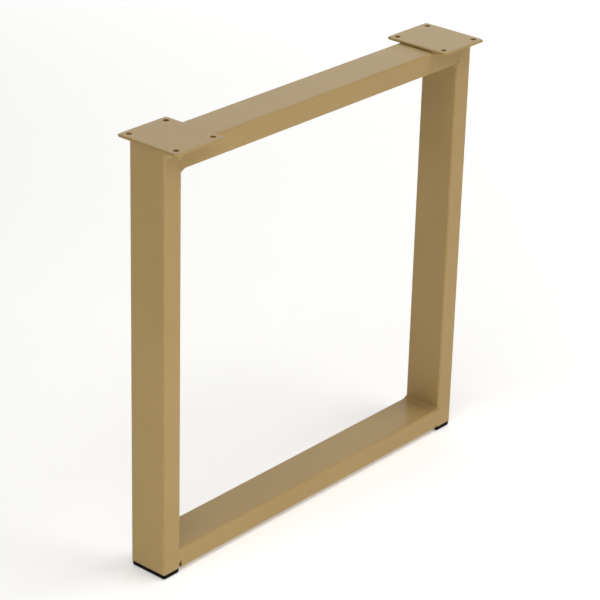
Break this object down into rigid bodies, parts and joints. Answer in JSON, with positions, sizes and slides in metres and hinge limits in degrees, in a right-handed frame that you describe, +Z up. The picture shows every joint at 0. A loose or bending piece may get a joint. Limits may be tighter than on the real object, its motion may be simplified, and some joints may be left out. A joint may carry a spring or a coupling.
{
  "type": "bench base",
  "caption": "Standing closed frame of welded rectangular steel tube, with drilled plates on top that screw to a bench seat and plastic feet below.",
  "frame": {"origin": "on the floor, under the middle of the frame", "axes": "+X along the frame's width towards the right leg, +Y across the frame, +Z up"},
  "size_m": [0.402, 0.068, 0.4],
  "materials": {
    "gold_powder_coat": "satin champagne gold powder coat over welded steel",
    "black_foot_plastic": "moulded black polyethylene"
  },
  "bodies": {
    "root": {"left_leg_tube": "gold_powder_coat", "right_leg_tube": "gold_powder_coat", "top_rail_tube": "gold_powder_coat", "bottom_rail_tube": "gold_powder_coat", "left_seat_plate": "gold_powder_coat", "right_seat_plate": "gold_powder_coat", "top_left_corner_weld": "gold_powder_coat", "top_right_corner_weld": "gold_powder_coat", "bottom_left_corner_weld": "gold_powder_coat", "bottom_right_corner_weld": "gold_powder_coat", "left_plate_weld": "gold_powder_coat", "right_plate_weld": "gold_powder_coat", "left_foot_cap": "black_foot_plastic", "right_foot_cap": "black_foot_plastic"}
  },
  "joints": []
}
